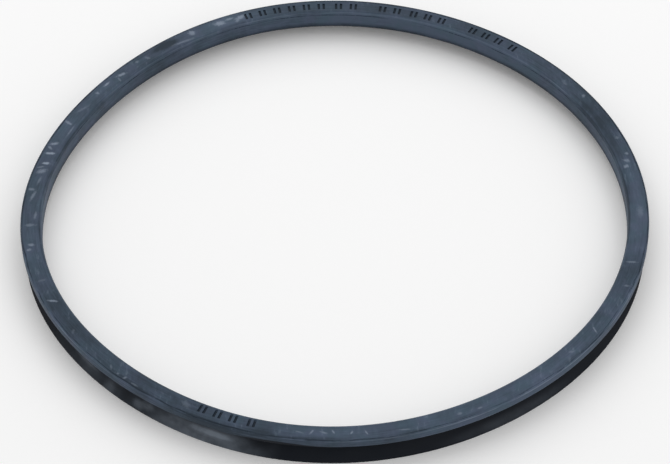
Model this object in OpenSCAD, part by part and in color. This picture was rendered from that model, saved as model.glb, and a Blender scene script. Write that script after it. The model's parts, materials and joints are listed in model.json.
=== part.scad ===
// Axial lip shaft seal: a one-piece rubber ring that is stretched over a shaft and turns with it.
// The ring lies with its lip down. The lip's contact edge is at z = 0, the flat back face is on top,
// and the axis of the shaft is Z. All sizes are for the free ring, before it is stretched.

/* [Ring] */
// Inside diameter of the free ring
bore_d = 180; // [60:1:400]
// Radial height of the body, from the bore to the outer rim
section_h = 6.5; // [5.5:0.1:10]
// Width of the body along the shaft, from the back face to the toe
body_w = 6.0; // [4.5:0.1:7.5]
// Free width over all, from the back face to the edge of the lip
free_w = 10.5; // [9:0.1:14]

/* [Body] */
// Width of the outer rim, from the back face to the mouth of the V-groove
rim_w = 2.4; // [1:0.1:3]
// Radius of the heel, the round between the bore and the back face
heel_r = 1.2; // [0.4:0.1:2]
// Radius of the outer edge of the back face
rim_edge_r = 0.4; // [0.1:0.05:0.8]
// Radius of the toe, the round between the bore and the lip
toe_r = 0.5; // [0.2:0.05:0.8]

/* [V-groove and lip] */
// Radius at the root of the V-groove
groove_root_r = 0.6; // [0.3:0.05:1]
// Wall that is left between the bore and the root of the V-groove
neck_t = 1.7; // [1:0.1:2.5]
// Thickness of the lip at its hinge, under the root of the V-groove
hinge_t = 1.2; // [0.8:0.05:1.6]
// Thickness of the lip at its tip, which is fully round
tip_t = 0.6; // [0.3:0.05:0.8]
// Radial reach of the lip, from the bore to the outside of its tip
lip_reach = 5.75; // [4.5:0.05:7]

/* [Hidden] */
rubber_colour = "#424b56";
// Facets round the ring, and the largest turn in degrees between two points of a round
ring_fn = 240;
round_step = 10;

// The section is drawn from the bore outwards (x) and from the lip's contact plane up (y)
bore_r = bore_d / 2;
tip_r = tip_t / 2;
toe_c = [toe_r, free_w - body_w + toe_r];
heel_c = [heel_r, free_w - heel_r];
rim_edge_c = [section_h - rim_edge_r, free_w - rim_edge_r];
tip_c = [lip_reach - tip_r, tip_r];
groove_mouth = [section_h, free_w - rim_w];

// Unit vector along a direction, and the direction from one point to another
function along(a) = [cos(a), sin(a)];
function bearing(p, q) = atan2(q.y - p.y, q.x - p.x);

// Inner flank of the lip: the common tangent under the toe and the tip
inner_flank_a = bearing(toe_c, tip_c) + asin((toe_r - tip_r) / norm(tip_c - toe_c));
inner_flank_start = toe_c + toe_r * along(inner_flank_a - 90);

// Root of the V-groove: the neck behind it and the hinge under it set its place
root_x = neck_t + groove_root_r;
inner_flank_y = inner_flank_start.y + (root_x - inner_flank_start.x) * tan(inner_flank_a);
root_c = [root_x, inner_flank_y + (hinge_t + groove_root_r) / cos(inner_flank_a)];

// Outer flank of the lip: the tangent that passes under the root and over the tip
outer_flank_a = bearing(root_c, tip_c) + asin((groove_root_r + tip_r) / norm(tip_c - root_c));
// Body's flank of the V-groove: the tangent from the upper side of the root to the groove's mouth
body_flank_a = bearing(root_c, groove_mouth)
    - asin(groove_root_r / norm(groove_mouth - root_c));

// Points of a round about a centre, from the direction of its first point to that of its last
function arc(centre, radius, from, to) =
    let (steps = ceil(abs(to - from) / round_step))
    [for (i = [0 : steps]) centre + radius * along(from + (to - from) * i / steps)];

// Half section of the ring, clockwise from the toe: up the bore, over the back face and down the
// rim, in and out of the V-groove, round the lip's tip and back along the lip's inner flank
module ring_section() {
    polygon(concat(
        arc(toe_c, toe_r, inner_flank_a + 270, 180),
        arc(heel_c, heel_r, 180, 90),
        arc(rim_edge_c, rim_edge_r, 90, 0),
        [groove_mouth],
        arc(root_c, groove_root_r, body_flank_a + 90, outer_flank_a + 270),
        arc(tip_c, tip_r, outer_flank_a + 90, inner_flank_a - 90)
    ));
}

module seal_ring() {
    color(rubber_colour)
        rotate_extrude($fn = ring_fn)
            translate([bore_r, 0])
                ring_section();
}

seal_ring();
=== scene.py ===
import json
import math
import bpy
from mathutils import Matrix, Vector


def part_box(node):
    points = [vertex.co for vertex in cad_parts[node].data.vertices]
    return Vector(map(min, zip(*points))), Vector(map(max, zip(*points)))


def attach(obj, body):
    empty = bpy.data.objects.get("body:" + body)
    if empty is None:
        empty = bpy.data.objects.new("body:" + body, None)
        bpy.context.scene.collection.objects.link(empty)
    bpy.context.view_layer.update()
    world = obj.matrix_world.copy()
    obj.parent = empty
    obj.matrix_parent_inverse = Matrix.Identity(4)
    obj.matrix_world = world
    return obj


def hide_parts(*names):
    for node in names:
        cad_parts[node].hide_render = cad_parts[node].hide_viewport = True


bl_info = {
    "name": "Axial Lip Shaft Seal",
    "version": (1, 0, 0),
    "blender": (4, 5, 0),
    "location": "3D View > Sidebar > Shaft Seal",
    "description": "Models a one-piece rubber shaft seal with a flared lip, and the table it lies on",
    "category": "Mesh",
}

from types import SimpleNamespace

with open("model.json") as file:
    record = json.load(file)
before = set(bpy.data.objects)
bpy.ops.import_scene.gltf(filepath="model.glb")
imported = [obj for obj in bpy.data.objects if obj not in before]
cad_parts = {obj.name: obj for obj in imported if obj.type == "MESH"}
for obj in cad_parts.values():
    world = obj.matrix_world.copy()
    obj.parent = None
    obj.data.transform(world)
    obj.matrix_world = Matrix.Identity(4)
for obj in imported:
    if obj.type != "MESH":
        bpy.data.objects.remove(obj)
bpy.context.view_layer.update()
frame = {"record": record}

import bmesh
import bpy
from bpy.props import FloatProperty, FloatVectorProperty, IntProperty, PointerProperty
from mathutils import Matrix, Quaternion, Vector

CAD_RING = "seal_ring"
RING = "rubber_ring"
MM = 0.001

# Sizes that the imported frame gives
RING_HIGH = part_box(CAD_RING)[1]
BORE = next(m for m in frame["record"]["mounts"] if m["name"] == "shaft_bore")
BORE_RADIUS = BORE["dims"]["r_mm"] * MM
OUTER_RADIUS = RING_HIGH.x

# Steps round the ring, the doublings of the spun sector that close it, the longest straight piece of
# the section, and the distance within which two points are one, both in millimetres
STEPS_AROUND = 720
DOUBLINGS = 3
LONGEST_STRAIGHT = 0.7
SAME_POINT = 0.002
# Steps of the section's rounds, and the share of the tip's half thickness that its two rounds take
TOE_STEPS = 5
HEEL_STEPS = 8
RIM_STEPS = 4
MOUTH_STEPS = 3
ROOT_STEPS = 6
TIP_STEPS = 4
TIP_SHARE = 0.98
# Where the fine seams run on two of the rounds, in degrees from the outward direction
HEEL_SEAM = 157.5
RIM_SEAM = 22.5
# Rows of bars: angle of the first pair and step to the next in degrees, and the number of pairs,
# which the first row takes from its setting
FIRST_ROW = (107.0, -3.05)
SECOND_ROW = (79.6, -3.2, 5)
THIRD_ROW = (60.0, -3.1, 4)
NEAR_ROW = (244.4, 3.15, 4)
# A face within this height of the back face is on it, and edges past this angle are sharp
LEVEL_WITHIN = 0.001 * MM
SHARP_FROM = math.radians(40)

# What the mesh keeps at each point for the material
PLACE_BEFORE = "moulded_place"
# Thicker and thinner bloom, with painted light and shade among it
BLOOM_AND_LIGHT_CHANGE = "bloom_change"
# Dust on the lip, with a painted highlight streak among it
DUST_AND_HIGHLIGHT_LEVEL = "dust_level"
# How far the bloom's end is raised above the groove's mouth, which paints shade there
MOUTH_SHADE_END = "bloom_end"

# Noise patterns of the rubber: scale, detail and roughness, and how a pattern is stretched first
STREAK_STRETCH = (8.0, 8.0, 1.3)
STREAK_NOISE = (1.0, 4.0, 0.6)
FINE_STRETCH = (14.0, 14.0, 4.0)
FINE_NOISE = (1.0, 3.0, 0.6)
STROKE_STRETCH = (950.0, 300.0, 600.0)
STROKE_TURN = math.radians(35)
STROKE_NOISE = (1.0, 2.0, 0.55)
CLOUD_NOISE = (130.0, 3.0, 0.6)
BROAD_NOISE = (34.0, 2.0, 0.5)
TINT_SHIFT = (0.31, 0.17, 0.05)
TINT_NOISE = (170.0, 3.0, 0.6)
GRAIN_NOISE = (3.0, 0.6)

# Soft edges: where each zone starts and where it is full, in millimetres from the size it follows
BODY_FADE = (-0.3, 0.1)
BORE_FADE = (0.8, 0.3)
# Painted shade: the bloom fades out down the bore, so the bore is darker towards its lower end
BORE_SHADE_FADE = (3.0, 7.2)
RIM_FADE = (-0.6, -0.1)
BACK_FADE = (-0.6, -0.1)
# Painted shade: the lip's dust fades out towards the groove's root, so the lip is darker there
LIP_DUST_SHADE_FADE = (1.9, 3.5)
BAR_FADE = (-0.05, -0.18)
BAR_INNER_FADE = (1.4, 1.6)
BAR_OUTER_FADE = (-0.7, -0.9)

# Lines along the ring: middle and half width in millimetres past the edge that each follows
# The heel's and the rim's dark lines are painted shade in the mould seams
HEEL_SHADE_LINE = (-0.95, 0.3)
RIM_SHADE_LINE = (-0.5, 0.45)
# The light lines on the rim's edge, the groove's mouth and the heel are painted highlights
HEEL_HIGHLIGHT_LINE = (0.1, 0.4)
RIM_HIGHLIGHT_LINE = (0.2, 0.3)
MOUTH_HIGHLIGHT_HALF_WIDTH = 0.25
# How far the lines of painted shade wander with the clouds, in millimetres, and the heel's share of
# that
WANDER_START = -0.6
WANDER_BY_CLOUD = 1.2
HEEL_WANDER = 0.4

# Values of a pattern, or of the change in the bloom, between which something comes in
TINT_RANGE = (0.35, 0.65)
WISP_STROKES = (0.57, 0.76)
WISP_CLOUDS = (0.45, 0.6)
HEEL_SHADE_STREAKS = (0.4, 0.58)
HEEL_SHADE_GRAIN = (0.3, 0.5)
RIM_SHADE_BREAKS = (0.37, 0.54)
RIM_BREAKS_BY_BLOOM = 0.35
HIGHLIGHT_STREAKS = (0.3, 0.7)
EDGE_HIGHLIGHT_BLOOM = (-0.15, 0.3)
HEEL_HIGHLIGHT_BLOOM = (-0.2, 0.0)
# A handling mark fades in between these shares of its size
MARK_RIM, MARK_CORE = 1.0, 0.2

# How strongly each thing on the rubber shows where it is full
SHARE = {
    "dust on the sides": 0.07,
    "wisps": 0.16,
    # Painted shade in the heel's seam, in the rim's seam and in the pressed bars
    "painted shade on the heel": 0.85,
    "painted shade on the rim": 0.92,
    "painted shade in the bars": 0.9,
    # Painted highlights on the edges and on the heel
    "painted highlight on the edges": 0.75,
    "painted highlight on the heel": 0.16,
}
BUMP = {"Strength": 0.4, "Distance": 0.12 * MM}
RUBBER_SPECULAR = 0.16
# Where a Mix node keeps its factor and its two colours, and where their mix comes out
MIX_INPUTS = (0, 6, 7)
MIX_RESULT = 2

# The stage: half the table's side and how far it lies under the ring, its grey for soft light, its
# glow where it is seen, the world's light, and the lamps with place, side and power
TABLE_HALF = 2.5
TABLE_DROP = 0.02 * MM
TABLE_SOFT_LIGHT = (0.6, 0.6, 0.6)
TABLE_GLOW = 0.08
TABLE_ROUGHNESS = 0.9
TABLE_SPECULAR = 0.1
WORLD_STRENGTH = 0.6
LAMPS = {
    "key": ((-0.15, 0.75, 1.05), 1.6, 6.5),
    "fill": ((0.9, -0.6, 1.0), 1.2, 2.6),
}
# The camera: its sensor in millimetres, the nearest that it sees, and the place it looks at
SENSOR_WIDTH = 36
NEAREST_SEEN = 0.05
CAMERA_TARGET = Vector((-0.00026, -0.00668, 0.00525))


def length(name, description, default):
    """A size in metres, shown in the scene's unit."""
    return FloatProperty(
        name=name, description=description, default=default, min=0, unit="LENGTH",
        subtype="DISTANCE", precision=5,
    )


def degrees(name, description, default):
    """An angle that is given in degrees."""
    return FloatProperty(
        name=name, description=description, default=math.radians(default), subtype="ANGLE",
    )


def colour(name, description, default):
    """A linear colour without alpha."""
    return FloatVectorProperty(
        name=name, description=description, default=default, min=0, max=1, size=3, subtype="COLOR",
    )


def strength(name, description):
    """How strongly something shows, where 1 is the strength that it is built for."""
    return FloatProperty(name=name, description=description, default=1, min=0)


class SEAL_PG_section(bpy.types.PropertyGroup):
    """Sizes of the free ring and its V section."""

    bore_radius: length("Bore radius", "Inside radius of the free ring", BORE_RADIUS)
    outer_radius: length("Outer radius", "Radius of the outer rim", OUTER_RADIUS)
    free_width: length("Free width", "From the back face to the edge of the lip", RING_HIGH.z)
    body_width: length("Body width", "From the back face to the toe", 0.006)
    rim_width: length("Rim width", "From the back face to the mouth of the V-groove", 0.0024)
    heel_round: length("Heel round", "Radius between the bore and the back face", 0.0012)
    rim_edge_round: length("Rim edge round", "Radius at the outer edge of the back face", 0.0004)
    mouth_round: length("Groove mouth round", "Radius where the rim turns into the V-groove", 0.00012)
    toe_round: length("Toe round", "Radius between the bore and the lip", 0.0005)
    root_round: length("Groove root round", "Radius at the root of the V-groove", 0.0006)
    neck: length("Neck", "Wall between the bore and the root of the V-groove", 0.0017)
    hinge: length("Hinge", "Thickness of the lip under the root of the V-groove", 0.0012)
    lip_tip: length("Lip tip", "Thickness of the lip at its round tip", 0.0006)
    lip_reach: length("Lip reach", "From the bore to the outside of the lip's tip", 0.00575)
    seam_depth: length("Mould seam depth", "Depth of the fine seams on the heel and the rim", 0.00007)


class SEAL_PG_lie(bpy.types.PropertyGroup):
    """How far the soft free ring lies out of round, as lobes in its plan."""

    three: length("Three lobes", "Height of three lobes round the ring", 0.00042)
    four: length("Four lobes", "Height of four lobes round the ring", 0.00057)
    five: length("Five lobes", "Height of five lobes round the ring", 0.00024)
    three_at: degrees("Three lobes at", "Where a crest of the three lobes lies", -32.7)
    four_at: degrees("Four lobes at", "Where a crest of the four lobes lies", 3.8)
    five_at: degrees("Five lobes at", "Where a crest of the five lobes lies", -30.5)


class SEAL_PG_marks(bpy.types.PropertyGroup):
    """Sizes of the plain bars that are pressed into the back face."""

    far_radius: length("Far rows' radius", "Middle radius of the bars in the rows at the back", 0.0935)
    near_radius: length("Near row's radius", "Middle radius of the bars in the row in front", 0.0927)
    bar_length: length("Bar length", "Length of a bar across the back face", 0.0030)
    depth: length("Depth", "Depth of a bar", 0.0003)
    wall: length("Wall", "Width of a bar's sloping wall", 0.0001)
    far_count: IntProperty(
        name="Far bars", description="Pairs of bars in the first row", default=8, min=0,
    )


class SEAL_PG_rubber(bpy.types.PropertyGroup):
    """Colours of the rubber and of what lies on it."""

    deep: colour("Rubber", "The bare rubber in the groove and on the lip", (0.0055, 0.0082, 0.0138))
    thin: colour("Thin bloom", "The open faces where the bloom is thin", (0.020, 0.033, 0.050))
    bloom: colour("Bloom", "Thick blue-violet bloom on the open faces", (0.080, 0.107, 0.166))
    bloom_teal: colour("Greener bloom", "Second tone of the bloom", (0.066, 0.104, 0.148))
    # A pale tone for the smears, which also paints the highlights on the edges
    smear: colour("Smear", "Pale smears left by handling", (0.27, 0.32, 0.40))
    # Blue-grey dust, which also paints the highlight streak on the lip
    dust: colour("Dust", "Blue-grey dust on the lip", (0.235, 0.274, 0.328))
    # A dark tone that paints the shade in the seams at the heel and the rim and in the pressed bars
    painted_shade: colour("Dirt", "Dark painted shade on the heel, at the rim and in the bars", (0.003, 0.010, 0.020))
    grain_size: length("Grain size", "Size of the fine moulded grain", 0.0007)


class SEAL_PG_wear(bpy.types.PropertyGroup):
    """How strongly the bloom changes and the lip's dust show, with the painted light and shade among
    them.
    """

    bloom: strength("Bloom changes", "Strength of the thick and thin places")
    dust: strength("Lip dust", "Strength of the dust on the lip")


class SEAL_PG_stage(bpy.types.PropertyGroup):
    """The table's colour and the camera."""

    table: colour("Table", "Colour of the pale table", (0.98, 0.98, 0.98))
    elevation: degrees("Camera elevation", "Angle of the camera above the table", 45.07)
    roll: degrees("Camera roll", "Turn of the picture", 0.87)
    distance: length("Camera distance", "From the camera to its target", 0.9)
    lens: FloatProperty(name="Lens", description="Focal length in millimetres", default=156.28)


def place(name, mesh):
    """Links a new object that holds the mesh, at the origin."""
    made = bpy.data.objects.new(name, mesh)
    bpy.context.scene.collection.objects.link(made)
    return made


def direction(angle):
    """Unit vector in the plane of the section, at an angle from the outward direction."""
    return Vector((math.cos(angle), math.sin(angle)))


def bearing(start, end):
    """Angle of the direction from one point of the section to another."""
    return math.atan2(end.y - start.y, end.x - start.x)


def meet(point, angle, other, other_angle):
    """Where two straight lines of the section meet."""
    along, across = direction(angle), direction(other_angle)
    gap = other - point
    return point + along * (gap.cross(across) / along.cross(across))


def section_corners(sizes):
    """Sharp corners of the half section in millimetres, each with its round's radius and steps."""
    s = {key: getattr(sizes, key) / MM for key in sizes.__annotations__}
    height = s["outer_radius"] - s["bore_radius"]
    tip_r = s["lip_tip"] / 2
    toe_c = Vector((s["toe_round"], s["free_width"] - s["body_width"] + s["toe_round"]))
    tip_c = Vector((s["lip_reach"] - tip_r, tip_r))
    mouth = Vector((height, s["free_width"] - s["rim_width"]))

    # The lip's inner flank passes under the toe and the tip, and its hinge sets the groove's root
    inner = bearing(toe_c, tip_c) + math.asin((s["toe_round"] - tip_r) / (tip_c - toe_c).length)
    inner_start = toe_c + direction(inner - math.pi / 2) * s["toe_round"]
    root_x = s["neck"] + s["root_round"]
    root_y = inner_start.y + (root_x - inner_start.x) * math.tan(inner)
    root_c = Vector((root_x, root_y + (s["hinge"] + s["root_round"]) / math.cos(inner)))
    outer = bearing(root_c, tip_c) + math.asin((s["root_round"] + tip_r) / (tip_c - root_c).length)
    body = bearing(root_c, mouth) - math.asin(s["root_round"] / (mouth - root_c).length)
    outer_start = root_c + direction(outer - math.pi / 2) * s["root_round"]

    # The tip is cut square to the lip before it is rounded
    lip = (inner + outer) / 2
    tip_end = tip_c + direction(lip) * tip_r
    square = lip + math.pi / 2
    toe = meet(inner_start, inner, Vector((0, 0)), math.pi / 2)
    heel = Vector((0, s["free_width"]))
    rim = Vector((height, s["free_width"]))
    return [
        (toe, s["toe_round"], TOE_STEPS),
        (heel, s["heel_round"], HEEL_STEPS),
        (rim, s["rim_edge_round"], RIM_STEPS),
        (mouth, s["mouth_round"], MOUTH_STEPS),
        (meet(mouth, body, outer_start, outer), s["root_round"], ROOT_STEPS),
        (meet(outer_start, outer, tip_end, square), tip_r * TIP_SHARE, TIP_STEPS),
        (meet(inner_start, inner, tip_end, square), tip_r * TIP_SHARE, TIP_STEPS),
    ]


def press_seams(bm, corners, depth):
    """Presses a fine seam into the heel's round and one into the rim's, where the mould parts."""
    _, heel, rim, *_ = corners
    for (corner, radius, _), seam in ((heel, HEEL_SEAM), (rim, RIM_SEAM)):
        outward = direction(math.radians(seam))
        centre = corner + Vector((math.copysign(radius, -outward.x), -radius))
        wanted = centre + outward * radius
        vert = min(bm.verts, key=lambda v: (v.co.xz - wanted).length)
        vert.co.xz = vert.co.xz - outward * depth


def draw_section(bm, corners, depth):
    """Draws the half section in millimetres as a loop of edges, with its rounds and seams."""
    points = [point for point, _, _ in corners]
    verts = [bm.verts.new((point.x, 0, point.y)) for point in points]
    bm.faces.new(verts)
    for i, (point, radius, segments) in enumerate(corners):
        before = (points[i - 1] - point).normalized()
        after = (points[(i + 1) % len(points)] - point).normalized()
        half = math.acos(max(-1, min(1, before.dot(after)))) / 2
        bmesh.ops.bevel(
            bm, geom=[verts[i]], offset=radius / math.tan(half), offset_type="OFFSET",
            segments=segments, profile=0.5, affect="VERTICES", material=-1,
        )
    bmesh.ops.delete(bm, geom=bm.faces[:], context="FACES_ONLY")
    press_seams(bm, corners, depth)
    for edge in bm.edges[:]:
        cuts = math.ceil(edge.calc_length() / LONGEST_STRAIGHT) - 1
        if cuts > 0:
            bmesh.ops.subdivide_edges(bm, edges=[edge], cuts=cuts)


def spin_ring(bm):
    """Spins the section through a sector, and doubles the sector until the ring is closed."""
    sectors = 2 ** DOUBLINGS
    bmesh.ops.spin(
        bm, geom=bm.verts[:] + bm.edges[:], cent=(0, 0, 0), axis=(0, 0, 1), dvec=(0, 0, 0),
        angle=math.tau / sectors, steps=STEPS_AROUND // sectors,
    )
    for doubling in range(DOUBLINGS):
        copy = bmesh.ops.duplicate(bm, geom=bm.verts[:] + bm.edges[:] + bm.faces[:])["geom"]
        bmesh.ops.rotate(
            bm, verts=[part for part in copy if isinstance(part, bmesh.types.BMVert)],
            cent=(0, 0, 0), matrix=Matrix.Rotation(math.tau / sectors * 2 ** doubling, 3, "Z"),
        )
    bmesh.ops.remove_doubles(bm, verts=bm.verts, dist=SAME_POINT)


def new_material(name):
    """An empty node material with its Principled shader and its tree."""
    material = bpy.data.materials.new(name)
    material.use_nodes = True
    tree = material.node_tree
    return material, tree, tree.nodes["Principled BSDF"]


def node(tree, kind, inputs=None, **settings):
    """Adds a node, sets it up, and fills or links its inputs."""
    made = tree.nodes.new(kind)
    for key, value in settings.items():
        setattr(made, key, value)
    for key, value in (inputs or {}).items():
        if isinstance(value, bpy.types.NodeSocket):
            tree.links.new(value, made.inputs[key])
        else:
            made.inputs[key].default_value = value
    return made


def maths(tree, operation, *values):
    """A Math node's result."""
    return node(tree, "ShaderNodeMath", dict(enumerate(values)), operation=operation).outputs[0]


def product(tree, first, *others):
    """Several values multiplied."""
    for other in others:
        first = maths(tree, "MULTIPLY", first, other)
    return first


def strongest(tree, first, *others):
    """The largest of several values."""
    for other in others:
        first = maths(tree, "MAXIMUM", first, other)
    return first


def vector_maths(tree, operation, *values):
    """A Vector Math node."""
    return node(tree, "ShaderNodeVectorMath", dict(enumerate(values)), operation=operation)


def attribute(tree, name, output="Fac"):
    """What the mesh keeps at each point under a name."""
    return node(tree, "ShaderNodeAttribute", attribute_name=name).outputs[output]


def smooth_step(tree, value, start, end):
    """0 at start and 1 at end, with a smooth ramp between."""
    made = node(
        tree, "ShaderNodeMapRange", {"Value": value, "From Min": start, "From Max": end},
        interpolation_type="SMOOTHSTEP",
    )
    return made.outputs["Result"]


def fade(tree, value, edge, ends):
    """0 to 1 between two places that are given in millimetres from an edge."""
    return smooth_step(tree, value, edge + ends[0] * MM, edge + ends[1] * MM)


def blend_colour(tree, factor, first, second):
    """A colour between two colours."""
    made = node(tree, "ShaderNodeMix", data_type="RGBA")
    for index, value in zip(MIX_INPUTS, (factor, first, second)):
        if isinstance(value, bpy.types.NodeSocket):
            tree.links.new(value, made.inputs[index])
        else:
            made.inputs[index].default_value = (*value, 1)
    return made.outputs[MIX_RESULT]


def noise(tree, vector, scale, detail, roughness):
    """A noise pattern between 0 and 1."""
    return node(
        tree, "ShaderNodeTexNoise",
        {"Vector": vector, "Scale": scale, "Detail": detail, "Roughness": roughness},
    ).outputs[0]


def mixed(tree, at, start, **weights):
    """A start value with each named pattern of the surface added by its weight."""
    total = start
    for name, weight in weights.items():
        total = maths(tree, "ADD", total, product(tree, getattr(at, name), weight))
    return total


def line_mask(tree, value, middle, half_width):
    """1 on a line, fading to 0 on both sides, with its place and width in millimetres."""
    away = maths(tree, "ABSOLUTE", maths(tree, "SUBTRACT", value, middle * MM))
    return smooth_step(tree, away, half_width * MM, 0.0)


def new_group(name, inputs, outputs):
    """A shader node group with its named sockets."""
    group = bpy.data.node_groups.new(name, "ShaderNodeTree")
    for label, kind in inputs:
        group.interface.new_socket(name=label, in_out="INPUT", socket_type="NodeSocket" + kind)
    for label, kind in outputs:
        group.interface.new_socket(name=label, in_out="OUTPUT", socket_type="NodeSocket" + kind)
    given = group.nodes.new("NodeGroupInput").outputs
    result = group.nodes.new("NodeGroupOutput").inputs
    return group, given, result


def ring_place_group():
    """Radius and height of a point, and its place round the ring for patterns without a seam."""
    group, given, result = new_group(
        "ring_place", [("Position", "Vector")],
        [("Radius", "Float"), ("Height", "Float"), ("Round", "Vector")],
    )
    parts = node(group, "ShaderNodeSeparateXYZ", {"Vector": given["Position"]}).outputs
    flat = node(group, "ShaderNodeCombineXYZ", {"X": parts["X"], "Y": parts["Y"]}).outputs[0]
    radius = vector_maths(group, "LENGTH", flat).outputs["Value"]
    turn = vector_maths(group, "NORMALIZE", flat).outputs["Vector"]
    lift = maths(group, "ADD", radius, parts["Z"])
    rise = maths(group, "MULTIPLY", lift, 1 / MM)
    rise = node(group, "ShaderNodeCombineXYZ", {"Z": rise}).outputs[0]
    group.links.new(radius, result["Radius"])
    group.links.new(parts["Z"], result["Height"])
    group.links.new(vector_maths(group, "ADD", turn, rise).outputs["Vector"], result["Round"])
    return group


def handling_mark_group():
    """One soft, broken mark at a place on the ring, longest across the ring or along it."""
    group, given, result = new_group(
        "handling_mark",
        [("Position", "Vector"), ("Angle", "Float"), ("Radius", "Float"), ("Slant", "Float"),
         ("Across", "Float"), ("Along", "Float"), ("Strength", "Float"), ("Ragged", "Float")],
        [("Mask", "Float")],
    )
    turned = node(
        group, "ShaderNodeVectorRotate",
        {"Vector": given["Position"], "Angle": maths(group, "MULTIPLY", given["Angle"], -1.0)},
        rotation_type="Z_AXIS",
    ).outputs[0]
    centre = node(group, "ShaderNodeCombineXYZ", {"X": given["Radius"]}).outputs[0]
    local = vector_maths(group, "SUBTRACT", turned, centre).outputs["Vector"]
    slanted = node(
        group, "ShaderNodeVectorRotate", {"Vector": local, "Angle": given["Slant"]},
        rotation_type="Z_AXIS",
    ).outputs[0]
    parts = node(group, "ShaderNodeSeparateXYZ", {"Vector": slanted}).outputs
    across = maths(group, "DIVIDE", parts["X"], given["Across"])
    along = maths(group, "DIVIDE", parts["Y"], given["Along"])
    away = maths(group, "SQRT", maths(
        group, "ADD", maths(group, "MULTIPLY", across, across), maths(group, "MULTIPLY", along, along),
    ))
    shape = smooth_step(group, maths(group, "ADD", away, given["Ragged"]), MARK_RIM, MARK_CORE)
    group.links.new(maths(group, "MULTIPLY", shape, given["Strength"]), result["Mask"])
    return group


# Pale marks on the back face: angle in degrees, radius, half length across and half width along in
# millimetres, slant in degrees, and strength
SMEARS = [
    (9.5, 92.6, 1.0, 1.2, 30, 0.55), (11.0, 93.4, 1.6, 1.0, 35, 0.45),
    (12.9, 94.4, 0.9, 0.8, 0, 0.45), (17.6, 94.0, 1.0, 1.0, 0, 0.25),
    (31.0, 94.0, 0.8, 1.2, 35, 0.4), (36, 92.9, 0.6, 1.6, 0, 0.25),
    (108.9, 93.6, 1.2, 3.0, -12, 0.65), (109.6, 93.0, 1.8, 1.0, 30, 0.5),
    (111.2, 94.3, 0.8, 2.0, 0, 0.5), (113.4, 93.7, 1.5, 2.6, 12, 0.7),
    (119.6, 94.0, 1.7, 1.5, -25, 0.6), (122.5, 91.9, 0.7, 6.0, 8, 0.3),
    (131.0, 93.2, 1.5, 0.8, -30, 0.3), (133.3, 94.2, 0.7, 0.9, 0, 0.35),
    (138.2, 93.6, 0.8, 2.6, 22, 0.65), (139.4, 92.6, 1.6, 0.5, 20, 0.3),
    (142.1, 94.2, 0.6, 2.0, 0, 0.75), (145.2, 94.0, 1.0, 0.9, 15, 0.5),
    (150.5, 93.6, 0.7, 4.0, 18, 0.22), (155.2, 94.4, 2.2, 0.75, 14, 0.55),
    (157.2, 91.8, 0.45, 4.0, 0, 0.3), (161.6, 93.9, 2.0, 0.8, -28, 0.7),
    (162.9, 94.4, 1.3, 0.6, 35, 0.5), (164.4, 93.6, 2.3, 0.75, -10, 0.95),
    (167.2, 93.1, 1.9, 0.8, -8, 0.95), (168.4, 94.2, 1.8, 0.6, -20, 0.35),
    (169.5, 93.3, 2.2, 1.3, -32, 0.5), (172.0, 93.0, 0.6, 2.5, 8, 0.3),
    (174.6, 94.6, 1.3, 0.9, 0, 0.4), (176.3, 93.6, 0.7, 3.2, 15, 0.4),
    (181.8, 92.0, 0.6, 2.6, 8, 0.35), (184.2, 93.5, 2.4, 0.8, 0, 0.32),
    (189.4, 93.6, 1.5, 0.8, 15, 0.5), (190.6, 94.4, 1.0, 0.7, -10, 0.45),
    (199, 93.4, 1.8, 0.7, 0, 0.16), (204.7, 93.6, 1.9, 0.55, 34, 0.6),
    (213.5, 94.2, 0.7, 1.4, 40, 0.14), (224.9, 94.6, 0.5, 1.4, 35, 0.22),
    (227.0, 95.1, 0.6, 0.8, -30, 0.4), (228.6, 95.0, 0.9, 0.6, 25, 0.4),
    (231, 95.2, 0.4, 2.0, 0, 0.25), (241.5, 93.0, 1.4, 2.4, 30, 0.18),
    (263.0, 93.3, 0.4, 2.0, 14, 0.26), (265.2, 92.9, 1.3, 0.45, 35, 0.45),
    (267.3, 93.0, 0.5, 1.6, 20, 0.4), (269.0, 92.7, 1.2, 0.4, -30, 0.5),
    (272.3, 93.1, 0.9, 0.5, 25, 0.6), (274.8, 93.4, 1.3, 0.4, -22, 0.45),
    (281.5, 94.3, 0.35, 2.8, 10, 0.3), (292, 93.6, 0.8, 1.0, 0, 0.3),
    (295.8, 94.2, 0.5, 0.9, 0, 0.3), (317.5, 93.6, 0.7, 1.4, 30, 0.25),
    (324.5, 93.6, 1.9, 0.4, 34, 0.5), (337.2, 94.2, 1.2, 0.5, -20, 0.3),
    (343.4, 93.0, 2.2, 0.6, -12, 0.42), (357, 93.8, 1.4, 3.5, 0, 0.22),
]
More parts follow.
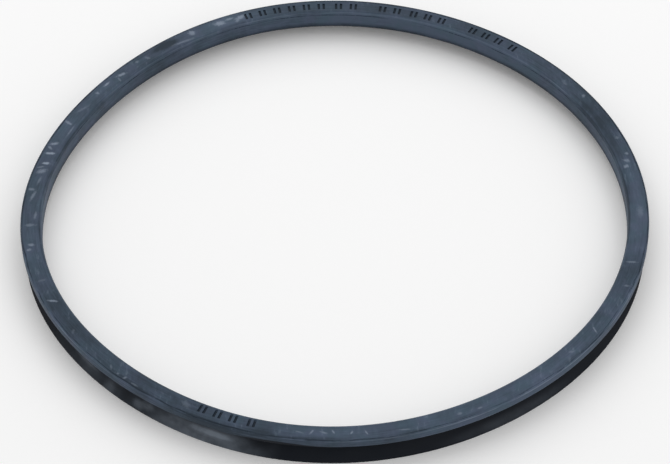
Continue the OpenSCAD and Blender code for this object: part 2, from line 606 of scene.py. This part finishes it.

# Places where the bloom is thicker or thinner, and where light and shade are painted: the thinner
# lines near radius 90.4 along the heel and from 95.2 to 96.4 along the back face's outer edge are
# painted shade at the seams, and the thicker bands at radius 90.0 on the heel and from 96.5 to 96.7 on
# the rim's edge are painted highlights. Angle in degrees, radius, half width across and half length
# along in millimetres, and the change
BLOOM_AND_LIGHT_PATCHES = [
    (117, 93.6, 6, 24, 0.12), (140, 93.6, 6, 18, 0.08), (164, 93.6, 6, 28, 0.10),
    (188, 93.6, 6, 20, 0.09), (268, 92.6, 5, 20, 0.1), (250, 93.2, 3.5, 9, 0.12),
    (290, 93.6, 7, 30, 0.10), (308, 94.6, 7, 24, 0.12), (321, 96.0, 4, 18, 0.15),
    (355, 93.6, 6, 24, 0.16), (8, 93.6, 5, 18, 0.04), (336, 96.5, 1.5, 26, 0.25),
    (206, 96.5, 1.5, 30, 0.4), (222, 96.5, 1.5, 20, 0.12), (303, 96.7, 1.1, 42, 0.3),
    (285, 96.7, 1.1, 18, 0.08), (111, 93.8, 3.2, 10, 0.3), (10, 90.0, 1.2, 30, 0.25),
    (182, 90.0, 1.2, 26, 0.25), (160, 90.0, 1.0, 22, 0.12), (65, 90.0, 1.2, 90, 0.42),
    (20, 91.9, 1.6, 26, -0.18), (28.5, 91.9, 1.1, 7, -0.15), (5, 91.4, 0.9, 18, -0.2),
    (161, 90.38, 0.4, 32, -0.42), (188, 90.5, 0.6, 26, -0.4), (2, 90.4, 0.5, 32, -0.75),
    (25, 90.36, 0.42, 24, -0.34), (176, 90.0, 0.25, 22, 0.24), (12, 90.0, 0.25, 16, 0.06),
    (82, 90.0, 0.25, 50, 0.06), (176, 91.3, 1.0, 9, 0.14), (126.3, 94.2, 2.4, 6.5, -0.6),
    (124.4, 93.4, 1.6, 4.0, -0.25), (62, 93.4, 5, 26, -0.12), (80, 93.4, 5, 20, -0.06),
    (100, 93.0, 5, 18, -0.02), (22, 93.6, 6, 20, -0.14), (212, 93.6, 6, 30, -0.12),
    (236, 93.6, 6, 34, -0.13), (254, 94.5, 4, 20, -0.1), (340, 93.4, 6, 24, -0.12),
    (256.4, 95.2, 0.9, 7, -0.35), (248, 96.4, 1.6, 18, -0.38), (264, 96.2, 0.8, 12, -0.12),
    (283, 95.6, 0.9, 8, -0.25), (266, 95.3, 0.9, 13, -0.32), (303, 95.4, 0.9, 9, -0.15),
    (318, 95.4, 1.0, 15, -0.28), (293, 95.4, 0.8, 7, -0.2), (230, 95.4, 1.1, 12, -0.25),
    (148, 92.0, 1.5, 16, -0.1), (134, 91.6, 1.4, 16, -0.12),
]

# Blue-grey dust on the lip, where the bright streak near 246 degrees is a painted highlight, given in
# the same way
LIP_DUST_AND_HIGHLIGHT = [
    (222, 94.8, 9, 32, 0.11), (218, 94.8, 1.8, 5, 0.06), (224.1, 94.9, 1.8, 3.2, 0.26),
    (217, 93.95, 0.6, 8, 0.22), (228, 94.4, 4, 3.4, -0.05), (231.3, 94.6, 1.3, 2.8, 0.42),
    (233.1, 93.9, 1.3, 3.0, 0.42), (241.5, 94.6, 9, 17, 0.36), (250, 94.4, 9, 17, 0.29),
    (246.3, 93.85, 0.75, 9, 0.75), (255.2, 93.2, 2, 6, -0.12), (303, 95.1, 1.8, 30, 0.11),
    (30, 94.2, 6, 26, 0.07), (74, 94.6, 5, 18, 0.1), (121, 94.0, 6, 30, 0.06),
    (163, 94.6, 5, 16, 0.09),
]

# Painted shade in the groove's mouth: where the bloom ends higher above the mouth, so that the bare
# dark rubber stands for the shadow there, given in the same way, with the height in millimetres
MOUTH_SHADE_ENDS = [
    (258, 96.5, 9, 15, 1.0), (265, 96.5, 9, 14, 0.35), (245, 96.5, 9, 12, 0.3),
    (204, 96.5, 9, 14, 0.25), (336, 96.5, 9, 14, 0.2),
]


def patch_level(turn, radius, patches):
    """What the patches add up to at an angle in degrees and a radius in millimetres."""
    total = 0
    for angle, middle, across, along, change in patches:
        side = math.radians((turn - angle + 180) % 360 - 180) * middle
        away = ((radius - middle) / across) ** 2 + (side / along) ** 2
        if away < 1:
            total += change * (1 - away) ** 2
    return total


def mark_masks(tree, position, marks, ragged):
    """The strongest of several marks at each point."""
    group = handling_mark_group()
    total = 0.0
    for angle, radius, across, along, slant, strength_of_mark in marks:
        made = node(tree, "ShaderNodeGroup", node_tree=group)
        tree.links.new(position, made.inputs["Position"])
        made.inputs["Angle"].default_value = math.radians(angle)
        made.inputs["Radius"].default_value = radius * MM
        made.inputs["Slant"].default_value = math.radians(slant)
        made.inputs["Across"].default_value = across * MM
        made.inputs["Along"].default_value = along * MM
        made.inputs["Strength"].default_value = strength_of_mark
        tree.links.new(ragged, made.inputs["Ragged"])
        total = strongest(tree, total, made.outputs["Mask"])
    return total


def read_surface(tree, look, section):
    """A point's place on the ring, its zones, and the patterns that the masks are made from."""
    position = attribute(tree, PLACE_BEFORE, "Vector")
    placed = node(tree, "ShaderNodeGroup", node_tree=ring_place_group())
    tree.links.new(position, placed.inputs["Position"])
    radius, height, around = (placed.outputs[key] for key in ("Radius", "Height", "Round"))
    at = SimpleNamespace(position=position, radius=radius, height=height)

    # Streaks that run round the ring, wiped strokes, and cloudy patches
    drawn = vector_maths(tree, "MULTIPLY", around, STREAK_STRETCH).outputs["Vector"]
    at.streak = noise(tree, drawn, *STREAK_NOISE)
    drawn = vector_maths(tree, "MULTIPLY", around, FINE_STRETCH).outputs["Vector"]
    at.fine = noise(tree, drawn, *FINE_NOISE)
    wiped = node(
        tree, "ShaderNodeMapping",
        {"Vector": position, "Rotation": (0, 0, STROKE_TURN), "Scale": STROKE_STRETCH},
    ).outputs[0]
    at.stroke = noise(tree, wiped, *STROKE_NOISE)
    at.cloud = noise(tree, position, *CLOUD_NOISE)
    at.broad = noise(tree, position, *BROAD_NOISE)
    shifted = vector_maths(tree, "ADD", position, TINT_SHIFT).outputs["Vector"]
    at.tint = noise(tree, shifted, *TINT_NOISE)
    at.grain = noise(tree, position, 1 / look.grain_size, *GRAIN_NOISE)
    at.change = attribute(tree, BLOOM_AND_LIGHT_CHANGE)

    # The body above the groove, its back face, its bore and its outer side
    at.groove_top = section.free_width - section.rim_width
    at.body = fade(tree, height, at.groove_top, BODY_FADE)
    at.back = fade(tree, height, section.free_width, BACK_FADE)
    at.bore = fade(tree, radius, section.bore_radius, BORE_FADE)
    rim_side = product(tree, at.body, fade(tree, radius, section.outer_radius, RIM_FADE))
    at.sides = strongest(tree, rim_side, at.bore)

    # How far a point lies past the sharp corners of the heel and of the rim
    down = maths(tree, "SUBTRACT", section.free_width, height)
    from_bore = maths(tree, "SUBTRACT", radius, section.bore_radius)
    at.past_heel = maths(tree, "SUBTRACT", from_bore, down)
    unrolled = maths(tree, "ADD", radius, down)
    at.past_rim = maths(tree, "SUBTRACT", unrolled, section.outer_radius)
    return at


def bloomed_rubber(tree, look, at):
    """Bare rubber, with a bloom on the body that ends at the groove and fades out down the bore; the
    fade down the bore is painted shade, darker towards the bore's lower end.
    """
    # The bore darker towards its lower end is painted shade
    down_bore = product(tree, at.bore, fade(tree, at.height, 0.0, BORE_SHADE_FADE))
    # Where the bloom's end is raised, the bare dark rubber paints shade in the groove's mouth
    above_end = maths(tree, "SUBTRACT", at.height, attribute(tree, MOUTH_SHADE_END))
    film = strongest(tree, down_bore, fade(tree, above_end, at.groove_top, BODY_FADE))
    depth = mixed(
        tree, at, -0.95, streak=0.7, fine=0.5, stroke=0.35, cloud=0.8, broad=0.55, change=1.6,
    )
    scuff = mixed(tree, at, -1.05, fine=1.4, cloud=0.7)
    depth = maths(tree, "ADD", depth, product(tree, scuff, at.sides))
    greener = smooth_step(tree, at.tint, *TINT_RANGE)
    bloom = blend_colour(tree, greener, look.bloom, look.bloom_teal)
    bloom = blend_colour(tree, depth, look.thin, bloom)
    dusty = product(tree, at.sides, SHARE["dust on the sides"])
    bloom = blend_colour(tree, dusty, bloom, look.dust)
    return blend_colour(tree, film, look.deep, bloom)


def smear_mask(tree, at):
    """Pale handling marks and faint wisps on the back face."""
    ragged = mixed(tree, at, -0.95, grain=1.1, stroke=0.8)
    marks = product(tree, at.back, mark_masks(tree, at.position, SMEARS, ragged))
    strokes = smooth_step(tree, at.stroke, *WISP_STROKES)
    clouds = smooth_step(tree, at.cloud, *WISP_CLOUDS)
    return strongest(tree, marks, product(tree, strokes, clouds, at.back, SHARE["wisps"]))


def dust_and_painted_light_mask(tree, section, at):
    """Patchy dust on the lip with its painted highlight streak, clear of the toe; the dust fades out
    towards the groove's root, which paints shade there.
    """
    patchy = mixed(tree, at, -0.575, fine=1.95, cloud=1.61)
    on_lip = fade(tree, at.radius, section.bore_radius, LIP_DUST_SHADE_FADE)
    return product(tree, attribute(tree, DUST_AND_HIGHLIGHT_LEVEL), patchy, on_lip)


def painted_shade_mask(tree, section, at):
    """Painted shade in broken lines along the heel's seam and inside the rim's edge, and in the
    pressed bars.
    """
    wander = mixed(tree, at, WANDER_START * MM, cloud=WANDER_BY_CLOUD * MM)
    heel_path = maths(tree, "ADD", at.past_heel, product(tree, wander, HEEL_WANDER))
    heel = product(
        tree, line_mask(tree, heel_path, *HEEL_SHADE_LINE),
        smooth_step(tree, at.streak, *HEEL_SHADE_STREAKS),
        smooth_step(tree, at.grain, *HEEL_SHADE_GRAIN), SHARE["painted shade on the heel"],
    )
    rim_path = maths(tree, "ADD", at.past_rim, wander)
    thicker = product(tree, at.change, RIM_BREAKS_BY_BLOOM)
    breaks = maths(tree, "SUBTRACT", at.fine, thicker)
    rim = product(
        tree, line_mask(tree, rim_path, *RIM_SHADE_LINE), smooth_step(tree, breaks, *RIM_SHADE_BREAKS),
        at.body, SHARE["painted shade on the rim"],
    )
    bars = product(
        tree, fade(tree, at.height, section.free_width, BAR_FADE),
        fade(tree, at.radius, section.bore_radius, BAR_INNER_FADE),
        fade(tree, at.radius, section.outer_radius, BAR_OUTER_FADE),
        at.body, SHARE["painted shade in the bars"],
    )
    return strongest(tree, heel, rim, bars)


def painted_highlight_mask(tree, section, at):
    """Painted highlights as light lines on the rim's edge, on the mouth of the groove and on the heel.
    """
    rim = line_mask(tree, at.past_rim, *RIM_HIGHLIGHT_LINE)
    mouth = line_mask(tree, at.past_rim, section.rim_width / MM, MOUTH_HIGHLIGHT_HALF_WIDTH)
    edges = product(
        tree, strongest(tree, rim, mouth), smooth_step(tree, at.change, *EDGE_HIGHLIGHT_BLOOM),
        at.body, SHARE["painted highlight on the edges"],
    )
    heel = product(
        tree, line_mask(tree, at.past_heel, *HEEL_HIGHLIGHT_LINE), SHARE["painted highlight on the heel"],
        smooth_step(tree, at.change, *HEEL_HIGHLIGHT_BLOOM),
    )
    streaks = smooth_step(tree, at.streak, *HIGHLIGHT_STREAKS)
    return product(tree, strongest(tree, edges, heel), streaks)


def rubber_material(look, section):
    """Moulded black rubber with a blue-grey bloom, smears and dust on it, painted shade in the seams
    and the bars, and painted highlights on the edges.
    """
    material, tree, shader = new_material("moulded_rubber")
    at = read_surface(tree, look, section)
    now = bloomed_rubber(tree, look, at)
    at.smear = smear_mask(tree, at)
    # Pale smears, lip dust with a painted highlight streak, painted shade in the seams and bars, and
    # painted highlights on the edges
    for mask, tone in (
        (at.smear, look.smear), (dust_and_painted_light_mask(tree, section, at), look.dust),
        (painted_shade_mask(tree, section, at), look.painted_shade), (painted_highlight_mask(tree, section, at), look.smear),
    ):
        now = blend_colour(tree, mask, now, tone)
    tree.links.new(now, shader.inputs["Base Color"])
    rough = mixed(tree, at, 0.4, cloud=0.3, smear=0.2)
    tree.links.new(rough, shader.inputs["Roughness"])
    relief = mixed(tree, at, 0.0, grain=0.25, streak=0.8, fine=0.5, cloud=0.8)
    bump = node(tree, "ShaderNodeBump", {"Height": relief, **BUMP}).outputs[0]
    tree.links.new(bump, shader.inputs["Normal"])
    shader.inputs["Specular IOR Level"].default_value = RUBBER_SPECULAR
    return material


class SEAL_OT_ring(bpy.types.Operator):
    """Spins the rounded V section into the rubber ring and gives it its rubber"""

    bl_idname = "seal.ring"
    bl_label = "Rubber ring"

    def execute(self, context):
        section = context.scene.seal_section
        bm = bmesh.new()
        draw_section(bm, section_corners(section), section.seam_depth / MM)
        bmesh.ops.translate(bm, vec=(section.bore_radius / MM, 0, 0), verts=bm.verts)
        spin_ring(bm)
        bmesh.ops.scale(bm, vec=(MM, MM, MM), verts=bm.verts)
        bmesh.ops.recalc_face_normals(bm, faces=bm.faces)
        for face in bm.faces:
            face.smooth = True
        if any(not edge.is_manifold for edge in bm.edges):
            raise RuntimeError("the ring isn't closed")
        mesh = bpy.data.meshes.new(RING)
        bm.to_mesh(mesh)
        bm.free()
        ring = place(RING, mesh)
        mesh.materials.append(rubber_material(context.scene.seal_rubber, section))
        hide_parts(CAD_RING)
        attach(ring, "root")
        return {"FINISHED"}


def bar_places(marks):
    """Angle in degrees and middle radius of each pair of bars, row by row."""
    rows = [
        (*FIRST_ROW, marks.far_count, marks.far_radius), (*SECOND_ROW, marks.far_radius),
        (*THIRD_ROW, marks.far_radius), (*NEAR_ROW, marks.near_radius),
    ]
    return [
        (start + i * pitch, middle)
        for start, pitch, count, middle in rows for i in range(count)
    ]


class SEAL_OT_marks(bpy.types.Operator):
    """Presses rows of plain bars into the back face, as a mould leaves them"""

    bl_idname = "seal.marks"
    bl_label = "Moulded bars"

    def execute(self, context):
        marks = context.scene.seal_marks
        mesh = bpy.data.objects[RING].data
        bm = bmesh.new()
        bm.from_mesh(mesh)
        step = 360 / STEPS_AROUND
        top = context.scene.seal_section.free_width
        # A pair is two bars of one step each, with one step between them
        wanted = {}
        for angle, middle in bar_places(marks):
            between = round(angle / step)
            wanted[between - 1] = wanted[between + 1] = middle
        chosen = []
        for face in bm.faces:
            centre = face.calc_center_median()
            turn = math.degrees(math.atan2(centre.y, centre.x)) % 360
            middle = wanted.get(math.floor(turn / step))
            if middle is None or centre.z < top - LEVEL_WITHIN:
                continue
            if abs(centre.xy.length - middle) < marks.bar_length / 2:
                chosen.append(face)
        if not chosen:
            raise RuntimeError("no place for the bars on the back face")
        bmesh.ops.inset_region(
            bm, faces=chosen, thickness=marks.wall, depth=-marks.depth, use_even_offset=True,
            use_boundary=True,
        )
        bm.to_mesh(mesh)
        bm.free()
        mesh.set_sharp_from_angle(angle=SHARP_FROM)
        return {"FINISHED"}


class SEAL_OT_wear(bpy.types.Operator):
    """Keeps at each point how thick the bloom lies, with painted light and shade among it, how far its
    end is raised to paint shade in the groove's mouth, and the lip's dust with a painted highlight
    streak
    """

    bl_idname = "seal.wear"
    bl_label = "Bloom and dust"

    def execute(self, context):
        wear = context.scene.seal_wear
        body_width = context.scene.seal_section.body_width
        mesh = bpy.data.objects[RING].data
        bloom = mesh.attributes.new(BLOOM_AND_LIGHT_CHANGE, "FLOAT", "POINT")
        dust = mesh.attributes.new(DUST_AND_HIGHLIGHT_LEVEL, "FLOAT", "POINT")
        end = mesh.attributes.new(MOUTH_SHADE_END, "FLOAT", "POINT")
        for vert, bloom_here, dust_here, end_here in zip(
            mesh.vertices, bloom.data, dust.data, end.data,
        ):
            turn = math.degrees(math.atan2(vert.co.y, vert.co.x))
            radius = vert.co.xy.length / MM
            # Raising the bloom's end paints shade in the groove's mouth
            end_here.value = wear.bloom * patch_level(turn, radius, MOUTH_SHADE_ENDS) * MM
            if vert.co.z > body_width:
                # Thicker and thinner bloom, with painted light and shade among it
                bloom_here.value = wear.bloom * patch_level(turn, radius, BLOOM_AND_LIGHT_PATCHES)
            else:
                # Dust on the lip, with a painted highlight streak among it
                dust_here.value = wear.dust * patch_level(turn, radius, LIP_DUST_AND_HIGHLIGHT)
        return {"FINISHED"}


class SEAL_OT_lie(bpy.types.Operator):
    """Lets the soft ring lie a little out of round, and keeps each point's moulded place"""

    bl_idname = "seal.lie"
    bl_label = "Lie of the ring"

    def execute(self, context):
        lie = context.scene.seal_lie
        lobes = [
            (3, lie.three, lie.three_at), (4, lie.four, lie.four_at), (5, lie.five, lie.five_at),
        ]
        mesh = bpy.data.objects[RING].data
        kept = mesh.attributes.new(PLACE_BEFORE, "FLOAT_VECTOR", "POINT")
        for vert, place_before in zip(mesh.vertices, kept.data):
            place_before.vector = vert.co
            turn = math.atan2(vert.co.y, vert.co.x)
            outward = sum(high * math.cos(count * (turn - at)) for count, high, at in lobes)
            vert.co += vert.co.xy.normalized().to_3d() * outward
        mesh.update()
        return {"FINISHED"}


def area_lamp(name, position, size, power):
    """A soft square lamp that points at the middle of the ring."""
    data = bpy.data.lights.new(name, "AREA")
    data.size = size
    data.energy = power
    lamp = bpy.data.objects.new(name, data)
    bpy.context.scene.collection.objects.link(lamp)
    lamp.location = position
    lamp.rotation_mode = "QUATERNION"
    lamp.rotation_quaternion = (-Vector(position)).to_track_quat("-Z", "Y")


def seen_directly(tree):
    """1 for what the camera, a reflection or glass sees, and 0 for soft light."""
    path = node(tree, "ShaderNodeLightPath").outputs
    return strongest(
        tree, path["Is Camera Ray"], path["Is Glossy Ray"], path["Is Transmission Ray"],
    )


class SEAL_OT_stage(bpy.types.Operator):
    """Sets the pale table, the soft lamps and the camera"""

    bl_idname = "seal.stage"
    bl_label = "Table, lamps and camera"

    def execute(self, context):
        stage = context.scene.seal_stage
        bm = bmesh.new()
        bmesh.ops.create_grid(bm, x_segments=1, y_segments=1, size=TABLE_HALF)
        bmesh.ops.translate(bm, vec=(0, 0, -TABLE_DROP), verts=bm.verts)
        mesh = bpy.data.meshes.new("table")
        bm.to_mesh(mesh)
        bm.free()
        table = place("table", mesh)
        material, tree, shader = new_material("pale_table")
        seen = seen_directly(tree)
        pale = blend_colour(tree, seen, TABLE_SOFT_LIGHT, stage.table)
        tree.links.new(pale, shader.inputs["Base Color"])
        shader.inputs["Emission Color"].default_value = (1, 1, 1, 1)
        tree.links.new(product(tree, seen, TABLE_GLOW), shader.inputs["Emission Strength"])
        shader.inputs["Roughness"].default_value = TABLE_ROUGHNESS
        shader.inputs["Specular IOR Level"].default_value = TABLE_SPECULAR
        mesh.materials.append(material)

        world = bpy.data.worlds.new("studio")
        context.scene.world = world
        world.use_nodes = True
        background = world.node_tree.nodes["Background"]
        background.inputs["Color"].default_value = (1, 1, 1, 1)
        background.inputs["Strength"].default_value = WORLD_STRENGTH
        for name, (position, size, power) in LAMPS.items():
            area_lamp(name, position, size, power)

        camera = bpy.data.objects.new("camera", bpy.data.cameras.new("camera"))
        context.scene.collection.objects.link(camera)
        camera.data.lens = stage.lens
        camera.data.sensor_width = SENSOR_WIDTH
        camera.data.clip_start = NEAREST_SEEN
        back = Vector((0, -math.cos(stage.elevation), math.sin(stage.elevation)))
        camera.location = CAMERA_TARGET + back * stage.distance
        camera.rotation_mode = "QUATERNION"
        turn = Quaternion((0, 0, 1), -stage.roll)
        camera.rotation_quaternion = (-back).to_track_quat("-Z", "Y") @ turn
        context.scene.camera = camera
        context.scene.view_settings.view_transform = "Standard"
        return {"FINISHED"}


class SEAL_PT_panel(bpy.types.Panel):
    """Sizes, colours and building steps of the shaft seal"""

    bl_label = "Shaft Seal"
    bl_space_type = "VIEW_3D"
    bl_region_type = "UI"
    bl_category = "Shaft Seal"

    def draw(self, context):
        for group, operator in BUILD_STEPS:
            box = self.layout.box()
            settings = getattr(context.scene, group)
            for key in settings.__annotations__:
                box.prop(settings, key)
            box.operator(operator)


# What the panel lists: a group of sizes, and the operator that uses it
BUILD_STEPS = [
    ("seal_section", "seal.ring"),
    ("seal_rubber", "seal.ring"),
    ("seal_marks", "seal.marks"),
    ("seal_wear", "seal.wear"),
    ("seal_lie", "seal.lie"),
    ("seal_stage", "seal.stage"),
]
GROUPS = {
    "seal_section": SEAL_PG_section,
    "seal_rubber": SEAL_PG_rubber,
    "seal_marks": SEAL_PG_marks,
    "seal_wear": SEAL_PG_wear,
    "seal_lie": SEAL_PG_lie,
    "seal_stage": SEAL_PG_stage,
}
CLASSES = (
    *GROUPS.values(), SEAL_OT_ring, SEAL_OT_marks, SEAL_OT_wear, SEAL_OT_lie, SEAL_OT_stage,
    SEAL_PT_panel,
)


def register():
    """Registers the classes and ties the groups of sizes to the scene."""
    for cls in CLASSES:
        bpy.utils.register_class(cls)
    for name, cls in GROUPS.items():
        setattr(bpy.types.Scene, name, PointerProperty(type=cls))


def unregister():
    """Takes the groups and the classes away again."""
    for name in GROUPS:
        delattr(bpy.types.Scene, name)
    for cls in reversed(CLASSES):
        bpy.utils.unregister_class(cls)


def main():
    register()
    bpy.ops.seal.ring()
    bpy.ops.seal.marks()
    bpy.ops.seal.wear()
    bpy.ops.seal.lie()
    bpy.ops.seal.stage()


if __name__ == "__main__":
    main()
